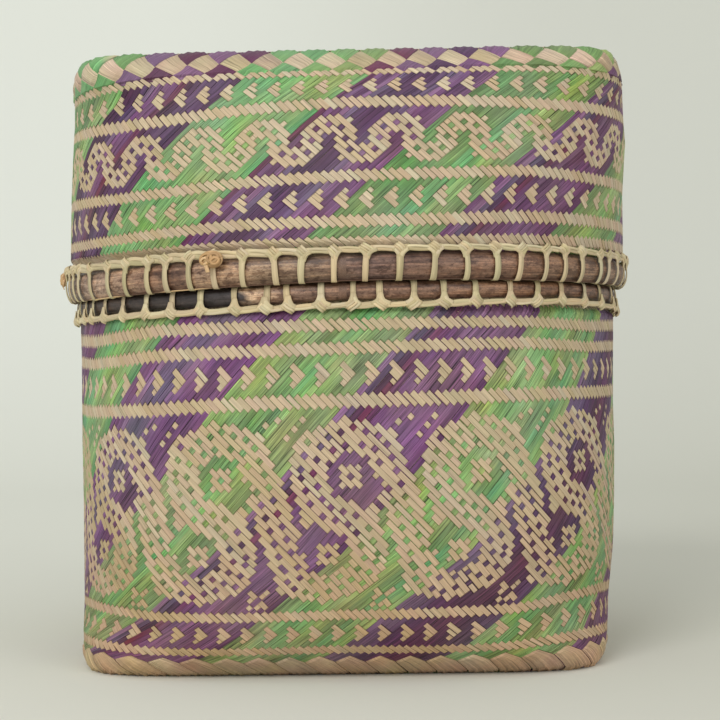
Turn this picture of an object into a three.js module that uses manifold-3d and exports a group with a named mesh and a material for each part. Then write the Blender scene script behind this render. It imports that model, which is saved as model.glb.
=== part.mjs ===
// Lidded box of plaited bamboo strips, in millimetres, +Z up, origin at the middle of the foot.
// The body is two baskets, one in the other: the inner one stands up past the rim as a neck.
// The lid drops over that neck and stands on the body's rim.
// Each mouth is stiffened by a cane hoop, lashed on with one flat strip of rattan.

import * as THREE from 'three';
import { mergeVertices } from 'three/addons/utils/BufferGeometryUtils.js';
import Module from 'manifold-3d';

const wasm = await Module();
wasm.setup();

// Body basket
const footWidth = 221;
const footDepth = 196;
const bodyDiameter = 248.8;
const bodyRimHeight = 160.2;
const bodyRollWidth = 238.6;
const bodyRollHeight = 26;
const bodyTuck = 3.2;

// Lid basket
const lidTopWidth = 227;
const lidTopDepth = 199;
const lidWallHeight = 96.9;
const lidRollWidth = 247.2;
const lidRollHeight = 24;
const lidTuck = 2.5;

// Plaited wall: its thickness, and how square its plan is at the closed end and above the roll
const weaveThickness = 1.2;
const closedEndSquareness = 8;
const rollSquareness = 2.9;
const roundness = 2;
const foldAngle = 30;

// Rim pieces
const bodyCaneHeight = 6.8;
const lidCaneHeight = 10.8;
const caneDepth = 3.7;
const caneEdgeRound = 1.3;
const scarfLength = 14;
const scarfBearing = -19.5;
const lidScarfBearing = -72;
const fillerThickness = 1.2;
const splintThickness = 1.5;
const splintHeight = 10;
const neckRise = 17;
const bindingThickness = 0.8;
const bindingHeight = 7;

// Rattan lashing
const wrapsPerQuarter = 15;
const lashThickness = 0.5;
const lashWidth = 2.6;
const bodyChainHeight = 2.6;
const lidChainHeight = 2.5;
const chainDepth = 2.4;
const lashTurnIn = 9;

// Knots on the lid's rim
const ballKnotWidth = 10.4;
const ballKnotHeight = 7.2;
const ballKnotDepth = 5.6;
const endKnotWidth = 5.2;
const endKnotHeight = 6.4;
const endKnotDepth = 2.6;
const ballKnotWrap = -4;
const endKnotWrap = -14;

// Gaps: between pieces that touch, between a basket and its lining, and round the neck
const clearance = 0.3;
const liningGap = 0.6;
const neckPlay = 0.6;

// Facets round a rim: one to each wrap of the lashing, so that wraps lie flat on them
const facets = 4 * wrapsPerQuarter;
const facetAngle = (2 * Math.PI) / facets;
const facetDrop = Math.cos(facetAngle / 2);

// Radii of the body's rim, from the wall inwards
const bodyWallRadius = bodyDiameter / 2;
const bodyMouthRadius = bodyWallRadius - bodyTuck;
const bodyCaneInner = bodyMouthRadius + clearance;
const bodyCaneOuter = bodyCaneInner + caneDepth;
const bodyLashInner = bodyMouthRadius - weaveThickness - clearance - lashThickness;
const neckOuter = bodyLashInner - clearance;
const neckInner = neckOuter - weaveThickness;
const bindingOuter = neckOuter + clearance + bindingThickness;
const bindingInner = neckInner - clearance - bindingThickness;

// Radii of the lid's rim, from the neck outwards
const lidLashInner = bindingOuter + neckPlay;
const splintInner = lidLashInner + lashThickness + clearance;
const splintOuter = splintInner + splintThickness;
const lidLiningInner = splintOuter + clearance;
const lidMouthRadius = lidLiningInner + weaveThickness + liningGap + weaveThickness;
const lidCaneInner = lidMouthRadius + clearance;
const lidCaneOuter = lidCaneInner + caneDepth;
const lidWallRadius = lidMouthRadius + lidTuck;

// Heights, from the body's rim upwards
const bodyLashTop = bodyRimHeight + clearance + lashThickness;
const neckTop = bodyRimHeight + neckRise;
const lidSeat = bodyLashTop + clearance;
const fillerBottom = lidSeat + lashThickness + clearance;
const lidRimHeight = fillerBottom + fillerThickness + clearance;
const lidTop = lidRimHeight + lidWallHeight;
const bodyCaneBottom = bodyRimHeight - bodyCaneHeight;
const lidCaneTop = lidRimHeight + lidCaneHeight;

// Colours
const naturalBamboo = 0xcdb491;
const paleBamboo = 0xcdbe9b;
const brownCane = 0x6e5541;
const darkCane = 0x54402f;
const rattan = 0xcdc39b;
const knotRattan = 0xd2b487;

function finish(colour, roughness) {
  return new THREE.MeshStandardMaterial({ color: colour, roughness, metalness: 0 });
}

// One quarter of a plan outline, from its front middle to its right middle, as lengths and points
function quarterOutline(ring) {
  const steps = 160;
  const points = [];
  const lengths = [0];
  for (let i = 0; i <= steps; i += 1) {
    const turn = (i / steps) * (Math.PI / 2);
    const x = ring.a * Math.sin(turn) ** (2 / ring.n);
    const y = -ring.b * Math.max(Math.cos(turn), 0) ** (2 / ring.n);
    points.push([x, y]);
    if (i > 0) {
      const [px, py] = points[i - 1];
      lengths.push(lengths[i - 1] + Math.hypot(x - px, y - py));
    }
  }
  return { points, lengths };
}

// The point a share of the way along that quarter
function alongQuarter(outline, share) {
  const { points, lengths } = outline;
  const goal = share * lengths[lengths.length - 1];
  let i = 1;
  while (i < lengths.length - 1 && lengths[i] < goal) {
    i += 1;
  }
  const part = (goal - lengths[i - 1]) / (lengths[i] - lengths[i - 1]);
  const [ax, ay] = points[i - 1];
  const [bx, by] = points[i];
  return [ax + (bx - ax) * part, ay + (by - ay) * part];
}

// A level ring of the basket: evenly spaced points, from the front middle round by the right.
// An inset ring has each point moved in, square to the outline, from the skin's own point.
function ringPoints(ring) {
  const outline = quarterOutline(ring);
  const points = [];
  for (let i = 0; i < facets; i += 1) {
    const quarter = Math.floor(i / wrapsPerQuarter);
    const step = (i % wrapsPerQuarter) / wrapsPerQuarter;
    const share = quarter % 2 === 0 ? step : 1 - step;
    const [x, y] = alongQuarter(outline, share);
    const slopeX = (x / ring.a) ** (ring.n - 1) / ring.a;
    const slopeY = -((-y / ring.b) ** (ring.n - 1)) / ring.b;
    const shift = (ring.shiftIn ?? 0) / Math.hypot(slopeX, slopeY);
    const signX = quarter < 2 ? 1 : -1;
    const signY = quarter === 0 || quarter === 3 ? 1 : -1;
    const px = signX * (x - slopeX * shift);
    const py = signY * (y - slopeY * shift);
    points.push(new THREE.Vector3(px, py, ring.z + (ring.shiftUp ?? 0)));
  }
  return points;
}

// A basket's solid: up its outside rings, over the mouth and down its inside ones, which split
// their faces the same way as the outside, so that one basket fits in another.
// An upturned basket has its faces the other way round.
function basketSolid(firstPole, outside, inside, lastPole, upturned) {
  const rings = [...outside, ...inside.toReversed()];
  const positions = [0, 0, firstPole];
  for (const ring of rings) {
    for (const point of ringPoints(ring)) {
      positions.push(point.x, point.y, point.z);
    }
  }
  positions.push(0, 0, lastPole);
  const last = positions.length / 3 - 1;
  const index = [];
  const face = (p, q, r) => (upturned ? index.push(p, r, q) : index.push(p, q, r));
  const at = (level, i) => 1 + level * facets + (i % facets);
  for (let i = 0; i < facets; i += 1) {
    face(0, at(0, i + 1), at(0, i));
    face(last, at(rings.length - 1, i), at(rings.length - 1, i + 1));
    for (let level = 0; level < rings.length - 1; level += 1) {
      const [low, high] = [at(level, i), at(level + 1, i)];
      const [lowNext, highNext] = [at(level, i + 1), at(level + 1, i + 1)];
      if (level < outside.length) {
        face(low, lowNext, highNext);
        face(low, highNext, high);
      } else {
        face(low, lowNext, high);
        face(lowNext, highNext, high);
      }
    }
  }
  const geometry = new THREE.BufferGeometry();
  geometry.setAttribute('position', new THREE.Float32BufferAttribute(positions, 3));
  geometry.setIndex(index);
  geometry.computeVertexNormals();
  return geometry;
}

// Profile of a basket that stands on its closed end: foot, rolled-out edge and upright wall
function basketProfile(size) {
  const start = THREE.MathUtils.degToRad(foldAngle);
  const rollSteps = 4;
  const rings = [];
  for (let i = 0; i <= rollSteps; i += 1) {
    const turn = start + ((Math.PI / 2 - start) * i) / rollSteps;
    const out = (Math.sin(turn) - Math.sin(start)) / (1 - Math.sin(start));
    const up = (Math.cos(start) - Math.cos(turn)) / Math.cos(start);
    rings.push({
      a: size.a + (size.rolled - size.a) * out,
      b: size.b + (size.rolled - size.b) * out,
      z: size.roll * up,
      n: closedEndSquareness + (rollSquareness - closedEndSquareness) * out ** 0.8,
    });
  }
  const straight = size.wallTop - size.roll;
  for (const share of [0.45, 1]) {
    const squareness = rollSquareness + (roundness - rollSquareness) * share;
    const half = size.rolled + (size.wall - size.rolled) * share;
    rings.push({ a: half, b: half, z: size.roll + straight * share, n: squareness });
  }
  return rings;
}

// The same profile a distance further in, measured square to its side view
function insetProfile(rings, inset) {
  return rings.map((ring, i) => {
    const before = i > 0 ? rings[i - 1] : { a: 0, z: 0 };
    const after = i < rings.length - 1 ? rings[i + 1] : { a: ring.a, z: ring.z + 1 };
    const first = new THREE.Vector2(ring.a - before.a, ring.z - before.z).normalize();
    const second = new THREE.Vector2(after.a - ring.a, after.z - ring.z).normalize();
    const normal = new THREE.Vector2(-first.y - second.y, first.x + second.x).normalize();
    const square = new THREE.Vector2(-second.y, second.x);
    const reach = inset / Math.max(normal.dot(square), 0.5);
    return { ...ring, shiftIn: -normal.x * reach, shiftUp: normal.y * reach };
  });
}

function roundRing(radius, z) {
  return { a: radius, b: radius, z, n: roundness };
}

// Sizes of the body's wall: it runs up to where the inner basket starts to draw in to the neck
const bodyTuckTop = bodyCaneBottom - clearance;
const bodyTuckStart = bodyTuckTop - bodyTuck;
const bodyBacking = weaveThickness + liningGap;
const neckDraw = bodyWallRadius - bodyBacking - neckOuter;
const bodySize = {
  a: footWidth / 2,
  b: footDepth / 2,
  rolled: bodyRollWidth / 2,
  wall: bodyWallRadius,
  roll: bodyRollHeight,
  wallTop: bodyTuckStart - 1.5 * neckDraw,
};

// Sizes of the lid's wall, taken as if the lid lay on its top
const lidTuckEnd = lidWallHeight - lidCaneHeight - clearance;
const lidSize = {
  a: lidTopWidth / 2,
  b: lidTopDepth / 2,
  rolled: lidRollWidth / 2,
  wall: lidWallRadius,
  roll: lidRollHeight,
  wallTop: lidTuckEnd - lidTuck - lidChainHeight / 2,
};

// Outer basket of the body
function makeOuterBasket() {
  const outside = basketProfile(bodySize);
  const inside = insetProfile(outside, weaveThickness);
  for (const [rings, inset] of [[outside, 0], [inside, weaveThickness]]) {
    rings.push(roundRing(bodyWallRadius - inset, bodyTuckStart));
    rings.push(roundRing(bodyMouthRadius - inset, bodyTuckTop));
    rings.push(roundRing(bodyMouthRadius - inset, bodyRimHeight));
  }
  return basketSolid(0, outside, inside, weaveThickness, false);
}

// Inner basket of the body, which ends in the neck
function makeInnerBasket() {
  const skin = basketProfile(bodySize);
  const outside = insetProfile(skin, bodyBacking);
  const inside = insetProfile(skin, bodyBacking + weaveThickness);
  for (const [rings, radius] of [[outside, neckOuter], [inside, neckInner]]) {
    rings.push(roundRing(radius, bodyTuckStart));
    rings.push(roundRing(radius, neckTop));
  }
  return basketSolid(bodyBacking, outside, inside, bodyBacking + weaveThickness, false);
}

// Outer basket of the lid, or with an inset its lining, turned over onto the body's rim
function makeLidShell(inset) {
  const skin = basketProfile(lidSize);
  const outside = insetProfile(skin, inset);
  const inside = insetProfile(skin, inset + weaveThickness);
  for (const [rings, depth] of [[outside, inset], [inside, inset + weaveThickness]]) {
    rings.push(roundRing(lidMouthRadius - depth, lidTuckEnd));
    rings.push(roundRing(lidMouthRadius - depth, lidWallHeight));
  }
  const turnOver = (ring) => ({ ...ring, z: lidTop - ring.z, shiftUp: -(ring.shiftUp ?? 0) });
  const floor = lidTop - inset;
  return basketSolid(floor, outside.map(turnOver), inside.map(turnOver), floor - weaveThickness, true);
}

// A ring turned from a closed section of (radius, height) corners
function turnedRing(corners) {
  const profile = [...corners, corners[0]].map(([radius, z]) => new THREE.Vector2(radius, z));
  return new THREE.LatheGeometry(profile, facets).rotateX(Math.PI / 2);
}

function flatRing(inner, outer, low, high) {
  return turnedRing([[inner, low], [outer, low], [outer, high], [inner, high]]);
}

// Half-round cane: flat behind, rounded over in front
function caneRing(inner, outer, low, high) {
  const round = caneEdgeRound;
  return turnedRing([
    [inner, low],
    [outer - round, low],
    [outer, low + round],
    [outer, high - round],
    [outer - round, high],
    [inner, high],
  ]);
}

function toSolid(geometry) {
  const bare = geometry.clone();
  bare.deleteAttribute('normal');
  bare.deleteAttribute('uv');
  const merged = mergeVertices(bare, 1e-4);
  return new wasm.Manifold(new wasm.Mesh({
    numProp: 3,
    vertProperties: new Float32Array(merged.attributes.position.array),
    triVerts: new Uint32Array(merged.index.array),
  }));
}

function toGeometry(solid) {
  const mesh = solid.getMesh();
  const geometry = new THREE.BufferGeometry();
  geometry.setAttribute('position', new THREE.BufferAttribute(mesh.vertProperties, 3));
  geometry.setIndex(new THREE.BufferAttribute(mesh.triVerts, 1));
  geometry.computeVertexNormals();
  return geometry;
}

// Turns a piece made at the front of the rim to its bearing, in degrees towards +X
function turnTo(geometry, bearing) {
  return geometry.rotateZ(THREE.MathUtils.degToRad(bearing));
}

// The slanted cut where a hoop's thinned ends lie on each other
function scarfCut(inner, outer, low, high, bearing) {
  const slant = Math.atan2(caneDepth, scarfLength);
  const height = high - low + 4 * clearance;
  const cut = new THREE.BoxGeometry(scarfLength * 1.6, clearance, height);
  cut.rotateZ(slant);
  cut.translate(0, -(inner + outer) / 2, (low + high) / 2);
  return turnTo(cut, bearing);
}

function makeHoop(inner, outer, low, high, bearing) {
  const cane = toSolid(caneRing(inner, outer, low, high));
  return toGeometry(cane.subtract(toSolid(scarfCut(inner, outer, low, high, bearing))));
}

// Strip that caps the neck's cut edge, folded over it
function makeNeckBinding() {
  const low = neckTop - bindingHeight;
  const high = neckTop + clearance + bindingThickness;
  return turnedRing([
    [bindingInner, low],
    [neckInner - clearance, low],
    [neckInner - clearance, neckTop + clearance],
    [neckOuter + clearance, neckTop + clearance],
    [neckOuter + clearance, low],
    [bindingOuter, low],
    [bindingOuter, high],
    [bindingInner, high],
  ]);
}

// One wrap of the lashing in side view: a flat strip bent round the rim's free edge
function wrapSolid(wrap, index) {
  const { outer, inner, edge, chainEnd, turnIn, up } = wrap;
  const t = lashThickness;
  const corners = [
    [outer, chainEnd],
    [outer + t, chainEnd],
    [outer + t, edge + up * t],
    [inner, edge + up * t],
    [inner, turnIn],
    [inner + t, turnIn],
    [inner + t, edge],
    [outer, edge],
  ];
  const outline = new THREE.Shape(corners.map(([radius, z]) => new THREE.Vector2(radius * facetDrop, z)));
  const strip = new THREE.ExtrudeGeometry(outline, { depth: lashWidth, bevelEnabled: false });
  strip.translate(0, 0, -lashWidth / 2);
  strip.rotateX(Math.PI / 2);
  strip.rotateZ((index + 0.5) * facetAngle - Math.PI / 2);
  return toSolid(strip);
}

// The lashing: wraps all round, and the chain that the strip makes along the basket beside the hoop
function lashingSolid(wrap, chain) {
  let lashing = toSolid(flatRing(chain.inner, chain.inner + chainDepth, chain.low, chain.high));
  const wraps = [];
  for (let i = 0; i < facets; i += 1) {
    wraps.push(wrapSolid(wrap, i));
  }
  lashing = wasm.Manifold.union([lashing, ...wraps]);
  return lashing;
}

function makeBodyLashing() {
  const chainHigh = bodyCaneBottom - clearance;
  const wrap = {
    outer: bodyCaneOuter + clearance,
    inner: bodyLashInner,
    edge: bodyRimHeight + clearance,
    chainEnd: chainHigh - bodyChainHeight / 2,
    turnIn: bodyRimHeight - Math.min(lashTurnIn, bodyCaneHeight),
    up: 1,
  };
  const chain = { inner: bodyWallRadius + clearance, low: chainHigh - bodyChainHeight, high: chainHigh };
  return toGeometry(lashingSolid(wrap, chain));
}

const ballKnotBearing = (ballKnotWrap * 360) / facets;
const endKnotBearing = (endKnotWrap * 360) / facets;

function makeLidLashing() {
  const chainLow = lidCaneTop + clearance;
  const wrap = {
    outer: lidCaneOuter + clearance,
    inner: lidLashInner,
    edge: fillerBottom - clearance,
    chainEnd: chainLow + lidChainHeight / 2,
    turnIn: fillerBottom + lashTurnIn,
    up: -1,
  };
  const chain = { inner: lidWallRadius + clearance, low: chainLow, high: chainLow + lidChainHeight };
  const room = new THREE.BoxGeometry(ballKnotWidth + 2 * clearance, 4 * chainDepth, 4 * lidChainHeight);
  room.translate(0, -(chain.inner + chainDepth), chainLow + lidChainHeight / 2);
  turnTo(room, ballKnotBearing);
  return toGeometry(lashingSolid(wrap, chain).subtract(toSolid(room)));
}

// A knot is a flattened ball that lies on the hoop between two wraps
function makeKnot(width, height, depth, z, bearing) {
  const knot = new THREE.SphereGeometry(0.5, 12, 8);
  knot.rotateX(Math.PI / 2);
  knot.scale(width, depth, height);
  knot.translate(0, -(lidCaneOuter + clearance + depth / 2), z);
  return turnTo(knot, bearing);
}

const box = new THREE.Group();

function addPiece(group, name, geometry, material) {
  const mesh = new THREE.Mesh(geometry, material);
  mesh.name = name;
  group.add(mesh);
}

addPiece(box, 'outer_basket', makeOuterBasket(), finish(naturalBamboo, 0.6));
addPiece(box, 'inner_basket', makeInnerBasket(), finish(paleBamboo, 0.65));
addPiece(box, 'neck_binding', makeNeckBinding(), finish(rattan, 0.5));
addPiece(
  box,
  'body_hoop',
  makeHoop(bodyCaneInner, bodyCaneOuter, bodyCaneBottom, bodyRimHeight, scarfBearing),
  finish(darkCane, 0.4),
);
addPiece(box, 'body_lashing', makeBodyLashing(), finish(rattan, 0.5));

const lid = new THREE.Group();
box.add(lid);

addPiece(lid, 'lid_basket', makeLidShell(0), finish(naturalBamboo, 0.6));
addPiece(lid, 'lid_lining', makeLidShell(weaveThickness + liningGap), finish(paleBamboo, 0.65));
addPiece(
  lid,
  'lid_hoop',
  makeHoop(lidCaneInner, lidCaneOuter, lidRimHeight, lidCaneTop, lidScarfBearing),
  finish(brownCane, 0.4),
);
addPiece(
  lid,
  'lid_splint',
  flatRing(splintInner, splintOuter, lidRimHeight, lidRimHeight + splintHeight),
  finish(naturalBamboo, 0.5),
);
addPiece(
  lid,
  'lid_rim_filler',
  flatRing(splintInner, lidCaneOuter, fillerBottom, fillerBottom + fillerThickness),
  finish(rattan, 0.5),
);
addPiece(lid, 'lid_lashing', makeLidLashing(), finish(rattan, 0.5));
addPiece(
  lid,
  'ball_knot',
  makeKnot(ballKnotWidth, ballKnotHeight, ballKnotDepth, lidCaneTop - clearance, ballKnotBearing),
  finish(knotRattan, 0.5),
);
addPiece(
  lid,
  'end_knot',
  makeKnot(endKnotWidth, endKnotHeight, endKnotDepth, lidRimHeight + lidCaneHeight / 2, endKnotBearing),
  finish(knotRattan, 0.5),
);

export default box;
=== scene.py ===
import math
import random

import bmesh
import bpy
import numpy as np
from mathutils import Matrix, Vector


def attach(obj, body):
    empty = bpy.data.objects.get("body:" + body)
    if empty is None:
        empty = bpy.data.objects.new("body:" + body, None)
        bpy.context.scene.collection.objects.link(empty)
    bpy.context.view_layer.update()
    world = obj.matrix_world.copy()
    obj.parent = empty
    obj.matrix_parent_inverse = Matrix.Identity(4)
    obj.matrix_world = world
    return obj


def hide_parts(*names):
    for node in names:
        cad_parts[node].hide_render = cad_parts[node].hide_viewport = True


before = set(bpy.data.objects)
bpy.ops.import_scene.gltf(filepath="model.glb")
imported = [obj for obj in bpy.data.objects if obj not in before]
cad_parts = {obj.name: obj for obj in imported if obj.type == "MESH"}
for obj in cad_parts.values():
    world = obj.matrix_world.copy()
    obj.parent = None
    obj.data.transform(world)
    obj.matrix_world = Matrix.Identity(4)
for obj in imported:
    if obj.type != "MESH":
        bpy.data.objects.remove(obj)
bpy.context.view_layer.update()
scene = bpy.context.scene
scene.view_settings.view_transform = "Standard"

# Lengths are in millimetres, and meshes are written in metres. Places round the box are counted in
# narrow strips, 60 to a side, from the front middle round by the right. Rows of cells count upwards.
mm = 0.001
stripsPerSide = 60
halfSide = stripsPerSide // 2
stripsRound = 4 * stripsPerSide
stripsInWide = 4


def linear(red, green, blue):
    # 0-255 screen values to the linear colour that shaders take
    values = [v / 255 for v in (red, green, blue)]
    return tuple(v / 12.92 if v <= 0.04045 else ((v + 0.055) / 1.055) ** 2.4 for v in values)


def smooth(t):
    t = np.clip(t, 0, 1)
    return t * t * (3 - 2 * t)


# Shader nodes

def feed(tree, node, inputs):
    # an input is a constant, set on the socket itself, or the output of another node
    for name, value in inputs.items():
        if isinstance(value, bpy.types.NodeSocket):
            tree.links.new(value, node.inputs[name])
        else:
            node.inputs[name].default_value = value
    return node.outputs


def addNode(tree, kind, inputs, **settings):
    node = tree.nodes.new("ShaderNode" + kind)
    for name, value in settings.items():
        setattr(node, name, value)
    return feed(tree, node, inputs)


def noise(tree, vector, scale, detail, rough=0.5):
    vector = addNode(tree, "Mapping", {"Vector": vector, "Scale": scale})["Vector"]
    inputs = {"Vector": vector, "Scale": 1, "Detail": detail, "Roughness": rough}
    return addNode(tree, "TexNoise", inputs)["Fac"]


def ranged(tree, value, low, high, start=0, end=1, interpolation="LINEAR"):
    inputs = {"Value": value, "From Min": low, "From Max": high, "To Min": start, "To Max": end}
    return addNode(tree, "MapRange", inputs, interpolation_type=interpolation)["Result"]


def mixed(tree, kind, factor, first, second):
    inputs = {"Factor": factor, "A": first, "B": second}
    return addNode(tree, "Mix", inputs, data_type="RGBA", blend_type=kind)["Result"]


def bumped(tree, height, strength, distance):
    return addNode(tree, "Bump", {"Height": height, "Strength": strength, "Distance": distance})["Normal"]


def newMaterial(name):
    material = bpy.data.materials.new(name)
    material.use_nodes = True
    return material, material.node_tree, material.node_tree.nodes["Principled BSDF"]


# Camera

view = {
    "distance": 803.6,
    "height": 130.7,
    "lens": 84.9,
    "roll": 0.7,
    "shift": 0.0174,
}

cameraData = bpy.data.cameras.new("camera")
cameraData.lens = view["lens"]
cameraData.sensor_width = 36
cameraData.shift_x = view["shift"]
camera = bpy.data.objects.new("camera", cameraData)
camera.matrix_world = (
    Matrix.Translation((0, -view["distance"] * mm, view["height"] * mm))
    @ Matrix.Rotation(math.radians(view["roll"]), 4, "Y")
    @ Matrix.Rotation(math.pi / 2, 4, "X")
)
scene.collection.objects.link(camera)
scene.camera = camera
print("camera placed")


# Floor, backdrop and light, in metres

# The paper's colours left and right and its near and far tones are painted light and shade.
studio = {
    "leftPaperLit": (226, 229, 220),
    "rightPaperShaded": (211, 213, 203),
    "sideways": (-0.35, 0.4),
    "nearPaintedShade": (0.95, 0.93, 0.915, 1),
    "farPaintedLight": (1.03, 1.03, 1.04, 1),
    "farWay": (0, 0.3, 1),
    "nearToFar": (-0.08, 0.7),
    "roughness": 0.9,
    "specular": 0.1,
    "floorHalf": 3.0,
    "sweepStart": 0.9,
    "sweepRadius": 1.2,
    "sweepSteps": 24,
    "wallHeight": 3.0,
    "skyColour": (1, 0.995, 0.98, 1),
    "sky": 0.66,
    "aim": (0, 0, 0.12),
    "lights": (("keyLight", (-1.7, -2.9, 2.0), 2.2, 72), ("fillLight", (2.2, -2.2, 1.0), 1.8, 20)),
}


def paperMaterial():
    # painted light and shade: lighter to the left, greyer to the right, and a little darker and warmer nearer
    # the camera
    material, tree, shader = newMaterial("paleFloor")
    where = addNode(tree, "TexCoord", {})["Object"]
    across = addNode(tree, "SeparateXYZ", {"Vector": where})["X"]
    away = addNode(tree, "VectorMath", {0: where, 1: studio["farWay"]}, operation="DOT_PRODUCT")["Value"]
    paintedSideShade = mixed(tree, "MIX", ranged(tree, across, *studio["sideways"], interpolation="SMOOTHSTEP"),
                  (*linear(*studio["leftPaperLit"]), 1), (*linear(*studio["rightPaperShaded"]), 1))
    nearness = ranged(tree, away, *studio["nearToFar"])
    shade = mixed(tree, "MIX", nearness, studio["nearPaintedShade"], studio["farPaintedLight"])
    feed(tree, shader, {
        "Base Color": mixed(tree, "MULTIPLY", 1, paintedSideShade, shade),
        "Roughness": studio["roughness"],
        "Specular IOR Level": studio["specular"],
    })
    return material


def makeFloor():
    # a sheet that runs back, sweeps up and stands as the backdrop
    bm = bmesh.new()
    half = studio["floorHalf"]

    def edgesOf(parts):
        return [part for part in parts if isinstance(part, bmesh.types.BMEdge)]

    def pull(edges, way):
        out = bmesh.ops.extrude_edge_only(bm, edges=edges)["geom"]
        moved = [v for v in out if isinstance(v, bmesh.types.BMVert)]
        bmesh.ops.translate(bm, verts=moved, vec=way)
        return [e for e in edgesOf(out) if all(v in moved for v in e.verts)] + moved

    near = bm.edges.new([bm.verts.new((x, -half, 0)) for x in (-half, half)])
    back = pull([near], (0, half + studio["sweepStart"], 0))
    out = bmesh.ops.spin(
        bm, geom=back, cent=(0, studio["sweepStart"], studio["sweepRadius"]), axis=(1, 0, 0),
        angle=math.pi / 2, steps=studio["sweepSteps"])
    pull(edgesOf(out["geom_last"]), (0, 0, studio["wallHeight"]))
    bmesh.ops.recalc_face_normals(bm, faces=bm.faces[:])
    mesh = bpy.data.meshes.new("floor")
    bm.to_mesh(mesh)
    bm.free()
    mesh.shade_smooth()
    mesh.materials.append(paperMaterial())
    floor = bpy.data.objects.new("floor", mesh)
    scene.collection.objects.link(floor)


def makeLight(name, position, size, power):
    data = bpy.data.lights.new(name, "AREA")
    data.shape = "DISK"
    data.size = size
    data.energy = power
    lamp = bpy.data.objects.new(name, data)
    lamp.location = position
    lamp.rotation_mode = "QUATERNION"
    lamp.rotation_quaternion = (Vector(studio["aim"]) - Vector(position)).to_track_quat("-Z", "Y")
    scene.collection.objects.link(lamp)


makeFloor()
world = bpy.data.worlds.new("softSky")
world.use_nodes = True
feed(world.node_tree, world.node_tree.nodes["Background"], {
    "Color": studio["skyColour"],
    "Strength": studio["sky"],
})
scene.world = world
for light in studio["lights"]:
    makeLight(*light)
print("floor and lights made")


# The plaited walls. Each is a closed end, a roll, and a wall that tucks in under its cane. The lid's
# is the same thing turned over: its levels count down from closedEnd. spread is how far the left and
# right sides stand out at a level; drift is how far rows stray at places round the box.

bodyWall = {
    "foot": (110.5, 98.0),
    "rolled": 119.3,
    "wall": 124.4,
    "mouth": 121.2,
    "rollHeight": 26.0,
    "wallTop": 144.35,
    "tuck": (149.9, 153.1),
    "rim": 160.2,
    "closedEnd": 0.0,
    "endInset": 0.0,
    "turned": False,
    "foldRow": -58,
    "dyeFirst": -37,
    "rowHeights": (
        (-58, 1.2), (-54, 7.4), (-48.5, 11.7), (-45.5, 14.8), (-36.5, 24.9), (-33.5, 28.6),
        (-18, 52.6), (0, 84.2), (15.5, 111.7), (27.5, 133.1), (39.5, 151.9), (44.5, 160.0),
    ),
    "cornerRise": 3.4,
    "spread": (
        (0, 4.0, -2.4), (10, 2.4, -2.4), (25, 1.9, -1.6), (47, 1.4, 0.4), (70, 0.9, 0.8), (92, 0.8, 0.7),
        (113, 0.4, 0), (133, 0, 0),
    ),
    "drift": {
        "stations": (-75, -40, -32, -24, -18, -10, 0, 15, 24, 38, 75),
        "rows": (-58, -47, -35, -18, 0, 17, 29, 36, 44),
        "round": (
            (0, -1.9, -1.8, -0.7, -1.0, -1.2, -2.0, -3.2, -3.2, -1.0, 0),
            (0, -2.0, -1.9, -0.7, -1.0, -1.2, -2.0, -3.3, -3.2, -1.0, 0),
            (0, -0.4, -0.8, -0.6, -0.6, -1.0, -1.9, -2.8, -2.4, -0.4, 0),
            (0, -0.2, -0.6, -0.5, -0.3, -0.1, -0.1, -0.1, -0.3, 0, 0),
            (0, 0, -0.4, -0.5, -0.4, -0.3, -0.3, 0, 0, 0, 0),
            (0, -1.3, -2.2, -2.1, -1.3, -0.8, -0.5, -0.3, 0, 0, 0),
            (0, -1.5, -2.3, -2.2, -1.4, -0.8, -0.5, -0.3, 0, 0, 0),
            (0, -1.2, -2.0, -1.8, -1.2, -0.6, -0.4, -0.3, 0, 0, 0),
            (0, -1.0, -1.6, -1.4, -1.0, -0.5, -0.3, -0.2, 0, 0, 0),
        ),
        "up": (
            (0, 0, 0, 0, 0, 0, 0, 0, 0, 0, 0),
            (0, -2.6, -3.4, -3.6, -2.6, -1.0, 0, -1.2, -2.2, -2.2, 0),
            (0, -0.4, -2.3, -2.8, -1.2, 0.6, 1.4, 1.0, -1.0, 1.6, 0),
            (0, -1.9, -3.3, -3.4, -2.2, -0.9, -0.2, -0.7, -1.0, 1.2, 0),
            (0, -3.6, -3.8, -3.4, -2.0, -0.8, -0.4, 0, 0, 0.8, 0),
            (0, -4.0, -3.6, -3.0, -1.4, -0.4, 0, 0.3, 0.3, 0, 0),
            (0, -4.2, -3.0, -1.2, -0.8, -0.4, 0, 0.8, 0.9, -1.6, 0),
            (0, -3.6, -2.0, 0, 0, 0, 0, 0, 0, -2.0, 0),
            (0, 0, 0, 0, 0, 0, 0, 0, 0, 0, 0),
        ),
    },
}
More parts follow.
